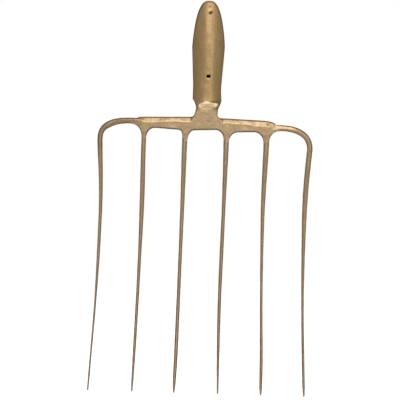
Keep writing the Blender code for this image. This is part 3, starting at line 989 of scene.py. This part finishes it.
def socketPaintedShade(co):
    # painted shade: a dark outline along the rim, and the inside and the hole walls painted dark
    angle = abs(math.atan2(co.x, -co.y))
    if math.hypot(co.x, co.y) < sheetRadius(co.z) - sheet["insideFrom"] or inHole(co):
        return -1.0
    step = sheet["rimStep"]
    steep = (sheetRim(angle + step) - sheetRim(angle - step)) / (2 * step * sheet["foot"])
    away = (sheetRim(angle) - co.z) / math.hypot(1, steep)
    return 1 - smoothStep(away / sheet["shadedRim"] - sheet["rimSolid"])


keepPaintedShade(socket, [socketPaintedShade(v.co) for v in socket.data.vertices])
pieces["socket"] = socket
print("socket rolled")


# paint

barTones = ((0.258, 0.180, 0.100), (0.282, 0.190, 0.120), (0.244, 0.179, 0.090))
paintLooks = {
    # base, pinkish and olive tones, linear; hammer marks, drawing streaks, painted shade lower down
    "socket": {"material": "socketPaint", "hammer": 0.25, "streaks": 0.8, "darkerBelow": 0.0,
               "tones": ((0.252, 0.166, 0.076), (0.272, 0.174, 0.090), (0.236, 0.165, 0.069))},
    "neck": {"material": "neckPaint", "hammer": 0.9, "streaks": 0.1, "darkerBelow": 0.0,
             "tones": barTones},
    "crossbar": {"material": "barPaint", "hammer": 0.7, "streaks": 0.2, "darkerBelow": 0.0,
                 "tones": barTones},
    "tine": {"material": "tinePaint", "hammer": 0.35, "streaks": 0.8, "darkerBelow": 0.42,
             "tones": ((0.264, 0.178, 0.097), (0.284, 0.185, 0.116), (0.244, 0.178, 0.085))},
}
paintFinish = {
    "metallic": 0.6,
    "specular": 0.1,
    "edgeTint": (0.40, 0.27, 0.15),
    "rough": (0.36, 0.46),
    "roughOnShade": 0.12,          # added where edges get the painted dark outline
    "bump": 0.35,
    "bumpDepth": 0.6 * mm,
    "rubbed": (0.105, 0.066, 0.036),    # painted shade, the dark outline along edges
    "grime": (0.060, 0.033, 0.016),     # painted shade inside the socket and its holes
    "rubbedShare": 0.8,
    "grimeShare": 0.92,
    "paintedDarkRange": (0.25, 0.70),        # of the painted shade attribute
    "insideShadeRange": (-0.45, -1.0),
    "smoothAngle": math.radians(40),
}
patchwork = {
    # noise scale and detail, and the range of it that is stretched to 0..1
    "warm": (85, 3, 0.42, 0.66),
    "olive": (150, 4, 0.45, 0.68),
    "flecks": (620, 2, 0.35, 0.75),
    "streaks": (520, 3, 0.40, 0.72),
    "broken": (240, 4, 0.05, 0.40),
}
shading = {
    "flecks": (0.90, 1.10),     # darkest and lightest
    "streaks": 0.16,
    "streakStretch": (1, 1, 0.09),
    "darkening": (-0.13, -0.33),    # painted shade: it gets darker between these heights, in metres
}
# noise scale and detail, and height
grainLayers = {"fine": (420, 2, 0.22), "finest": (1500, 2, 0.07), "streaks": (600, 2, 0.22)}
grainStretch = (1, 1, 0.08)
hammerGrain = (150, 3)
roughGrain = (160, 3)


def newGroup(name, inputs, outputs):
    # its sockets are given by name and kind
    group = bpy.data.node_groups.new(name, "ShaderNodeTree")
    for way, sockets in (("INPUT", inputs), ("OUTPUT", outputs)):
        for label, kind in sockets.items():
            group.interface.new_socket(label, in_out=way, socket_type="NodeSocket" + kind)
    return group, group.nodes.new("NodeGroupInput"), group.nodes.new("NodeGroupOutput")


def node(tree, kind, **values):
    made = tree.nodes.new(kind)
    for name, value in values.items():
        setattr(made, name, value)
    return made


def setInputs(made, values):
    for label, value in values.items():
        made.inputs[label].default_value = value


def noise(tree, vector, scale, detail):
    made = node(tree, "ShaderNodeTexNoise")
    setInputs(made, {"Scale": scale, "Detail": detail})
    tree.links.new(vector, made.inputs["Vector"])
    return made.outputs["Fac"]


def mapRange(tree, value, kind="SMOOTHSTEP", low=0, high=1, least=0, most=1):
    # the range from low to high becomes that from least to most
    made = node(tree, "ShaderNodeMapRange", interpolation_type=kind)
    setInputs(made, {"From Min": low, "From Max": high, "To Min": least, "To Max": most})
    tree.links.new(value, made.inputs["Value"])
    return made.outputs["Result"]


def patches(tree, vector, name):
    scale, detail, low, high = patchwork[name]
    return mapRange(tree, noise(tree, vector, scale, detail), low=low, high=high)


def blendColours(tree, amount, first, second):
    made = node(tree, "ShaderNodeMix", data_type="RGBA")
    for link, place in ((amount, 0), (first, 6), (second, 7)):
        tree.links.new(link, made.inputs[place])
    return made.outputs[2]


def scaledVector(tree, vector, scale):
    made = node(tree, "ShaderNodeVectorMath", operation="MULTIPLY")
    tree.links.new(vector, made.inputs[0])
    made.inputs[1].default_value = scale
    return made.outputs[0]


def maths(tree, operation, *values):
    # each value is a socket or a plain number
    made = node(tree, "ShaderNodeMath", operation=operation)
    for value, place in zip(values, made.inputs):
        if isinstance(value, float):
            place.default_value = value
        else:
            tree.links.new(value, place)
    return made.outputs[0]


def times(tree, first, second):
    return maths(tree, "MULTIPLY", first, second)


def timesPlus(tree, first, factor, rest):
    return maths(tree, "MULTIPLY_ADD", first, factor, rest)


# mottling: three tones that drift into each other, with long faint drawing streaks, and painted
# shade low down
mottling, groupIn, groupOut = newGroup("mottling", {
    "Vector": "Vector", "Base": "Color", "Warm": "Color", "Olive": "Color",
    "Streaks": "Float", "Darker Below": "Float"}, {"Color": "Color"})
place = groupIn.outputs["Vector"]
warm = patches(mottling, place, "warm")
olive = patches(mottling, place, "olive")
flecks = patches(mottling, place, "flecks")
streaks = patches(mottling, scaledVector(mottling, place, shading["streakStretch"]), "streaks")
tone = blendColours(mottling, warm, groupIn.outputs["Base"], groupIn.outputs["Warm"])
tone = blendColours(mottling, olive, tone, groupIn.outputs["Olive"])
shade = mapRange(mottling, flecks, "LINEAR", 0, 1, *shading["flecks"])
streaks = times(mottling, streaks, groupIn.outputs["Streaks"])
shade = timesPlus(mottling, streaks, shading["streaks"], shade)
apart = node(mottling, "ShaderNodeSeparateXYZ")
mottling.links.new(place, apart.inputs[0])
# painted shade: darker low down, where the tines are
low = mapRange(mottling, apart.outputs["Z"], "LINEAR", *shading["darkening"])
low = times(mottling, low, groupIn.outputs["Darker Below"])
shade = timesPlus(mottling, low, -1.0, shade)
lit = node(mottling, "ShaderNodeVectorMath", operation="SCALE")
mottling.links.new(tone, lit.inputs[0])
mottling.links.new(shade, lit.inputs["Scale"])
mottling.links.new(lit.outputs[0], groupOut.inputs["Color"])

# grain: height of the paint's fine grain over soft hammer marks
grain, groupIn, groupOut = newGroup("grain", {
    "Vector": "Vector", "Hammer": "Float", "Streaks": "Float"}, {"Height": "Float"})
place = groupIn.outputs["Vector"]
height = times(grain, noise(grain, place, *hammerGrain), groupIn.outputs["Hammer"])
for name in ("fine", "finest"):
    scale, detail, share = grainLayers[name]
    height = timesPlus(grain, noise(grain, place, scale, detail), share, height)
scale, detail, share = grainLayers["streaks"]
drawn = noise(grain, scaledVector(grain, place, grainStretch), scale, detail)
drawn = times(grain, drawn, groupIn.outputs["Streaks"])
height = timesPlus(grain, drawn, share, height)
grain.links.new(height, groupOut.inputs["Height"])

# painted shade: dark outlines along edges and the dark inside of the socket, both broken up by noise
wear, groupIn, groupOut = newGroup("wear", {
    "Vector": "Vector", "Color": "Color", "Rubbed": "Color", "Grime": "Color",
    "Rubbed Share": "Float", "Grime Share": "Float"}, {"Color": "Color", "Edge": "Float"})
place = groupIn.outputs["Vector"]
curve = node(wear, "ShaderNodeAttribute", attribute_name="worn").outputs["Fac"]
broken = patches(wear, place, "broken")
edge = times(wear, mapRange(wear, curve, "SMOOTHSTEP", *paintFinish["paintedDarkRange"]), broken)
hollow = mapRange(wear, curve, "SMOOTHSTEP", *paintFinish["insideShadeRange"])
tone = blendColours(wear, times(wear, edge, groupIn.outputs["Rubbed Share"]),
                    groupIn.outputs["Color"], groupIn.outputs["Rubbed"])
tone = blendColours(wear, times(wear, hollow, groupIn.outputs["Grime Share"]),
                    tone, groupIn.outputs["Grime"])
wear.links.new(tone, groupOut.inputs["Color"])
wear.links.new(edge, groupOut.inputs["Edge"])


def placeGroup(tree, group, coords, values):
    # a shared group in a material, with the material's own values
    made = node(tree, "ShaderNodeGroup", node_tree=group)
    tree.links.new(coords, made.inputs["Vector"])
    setInputs(made, values)
    return made


def makePaint(look):
    material = bpy.data.materials.new(look["material"])
    material.use_nodes = True
    tree = material.node_tree
    shader = tree.nodes["Principled BSDF"]
    coords = node(tree, "ShaderNodeTexCoord").outputs["Object"]
    base, warmTone, oliveTone = [(*tone, 1) for tone in look["tones"]]
    mottle = placeGroup(tree, mottling, coords, {
        "Base": base, "Warm": warmTone, "Olive": oliveTone,
        "Streaks": look["streaks"], "Darker Below": look["darkerBelow"]})
    worn = placeGroup(tree, wear, coords, {
        "Rubbed": (*paintFinish["rubbed"], 1), "Rubbed Share": paintFinish["rubbedShare"],
        "Grime": (*paintFinish["grime"], 1), "Grime Share": paintFinish["grimeShare"]})
    tree.links.new(mottle.outputs["Color"], worn.inputs["Color"])
    tree.links.new(worn.outputs["Color"], shader.inputs["Base Color"])
    bumps = placeGroup(tree, grain, coords, {"Hammer": look["hammer"], "Streaks": look["streaks"]})
    bump = node(tree, "ShaderNodeBump")
    setInputs(bump, {"Strength": paintFinish["bump"], "Distance": paintFinish["bumpDepth"]})
    tree.links.new(bumps.outputs["Height"], bump.inputs["Height"])
    tree.links.new(bump.outputs["Normal"], shader.inputs["Normal"])
    rough = mapRange(tree, noise(tree, coords, *roughGrain), "LINEAR", 0, 1, *paintFinish["rough"])
    dull = timesPlus(tree, worn.outputs["Edge"], paintFinish["roughOnShade"], rough)
    tree.links.new(dull, shader.inputs["Roughness"])
    setInputs(shader, {"Metallic": paintFinish["metallic"],
                       "Specular IOR Level": paintFinish["specular"],
                       "Specular Tint": (*paintFinish["edgeTint"], 1)})
    return material


paints = {kind: makePaint(look) for kind, look in paintLooks.items()}
print("paint mixed")

for name, piece in pieces.items():
    kind = name if name in paints else "tine"
    piece.data.materials.clear()
    piece.data.materials.append(paints[kind])
    grab(piece)
    bpy.ops.object.shade_smooth_by_angle(angle=paintFinish["smoothAngle"])
    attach(piece, "root")
    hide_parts(name)
print("pieces dressed:", len(pieces))


# floor, backdrop and lights

def whiteForViewer(tree, shaderOut, target, kind, strength=1.0, keepShadows=False):
    # white where the camera looks, or looks through gloss or glass, and plain otherwise; a floor
    # that keeps its shadows adds its own light to a slightly weaker white
    path = node(tree, "ShaderNodeLightPath").outputs
    seen = maths(tree, "MAXIMUM", path["Is Glossy Ray"], path["Is Transmission Ray"])
    seen = maths(tree, "MAXIMUM", path["Is Camera Ray"], seen)
    white = node(tree, kind)
    setInputs(white, {"Color": (1, 1, 1, 1), "Strength": strength})
    whiteOut = white.outputs[0]
    if keepShadows:
        both = node(tree, "ShaderNodeAddShader")
        tree.links.new(whiteOut, both.inputs[0])
        tree.links.new(shaderOut, both.inputs[1])
        whiteOut = both.outputs[0]
    chosen = node(tree, "ShaderNodeMixShader")
    for link, place in zip((seen, shaderOut, whiteOut), chosen.inputs):
        tree.links.new(link, place)
    tree.links.new(chosen.outputs[0], target)


studio = {
    "floorLevel": -0.3535,
    "floorSize": 3,
    "floorWhite": 0.9,
    "floorTone": (0.9, 0.9, 0.9, 1),
    "floorRough": 0.9,
    "ambient": 0.05,
    "lampAim": -0.08,
    "lampAway": 1.9,
    "lampSize": 0.6,
}
world = bpy.data.worlds.new("studio")
bpy.context.scene.world = world
world.use_nodes = True
sky = world.node_tree.nodes["Background"]
setInputs(sky, {"Color": (1, 1, 1, 1), "Strength": studio["ambient"]})
whiteForViewer(world.node_tree, sky.outputs[0],
               world.node_tree.nodes["World Output"].inputs["Surface"], "ShaderNodeBackground")

dropSelection()
bpy.ops.mesh.primitive_plane_add(size=studio["floorSize"], location=(0, 0, studio["floorLevel"]))
floor = bpy.context.object
floor.name = "studioFloor"
floorPaint = bpy.data.materials.new("floorPaint")
floorPaint.use_nodes = True
floorTree = floorPaint.node_tree
floorShader = floorTree.nodes["Principled BSDF"]
setInputs(floorShader, {"Base Color": studio["floorTone"], "Roughness": studio["floorRough"]})
whiteForViewer(floorTree, floorShader.outputs[0],
               floorTree.nodes["Material Output"].inputs["Surface"], "ShaderNodeEmission",
               studio["floorWhite"], keepShadows=True)
floor.data.materials.append(floorPaint)

lamps = (
    # how high and how far to the right, in radians, as seen from the fork
    {"name": "keyLamp", "high": 0.55, "across": 0.0, "power": 26.7},
    {"name": "sideLamp", "high": 0.10, "across": 0.45, "power": 5.1},
)
middle = Vector((0, 0, studio["lampAim"]))
for lamp in lamps:
    dropSelection()
    level = math.cos(lamp["high"])
    towards = Vector((math.sin(lamp["across"]) * level, -math.cos(lamp["across"]) * level,
                      math.sin(lamp["high"])))
    bpy.ops.object.light_add(type="AREA", location=middle + towards * studio["lampAway"])
    light = bpy.context.object
    light.name = lamp["name"]
    light.data.size = studio["lampSize"]
    light.data.energy = lamp["power"]
    light.rotation_euler = (-towards).to_track_quat("-Z", "Y").to_euler()

bpy.context.scene.view_settings.view_transform = "Standard"
print("studio lit")
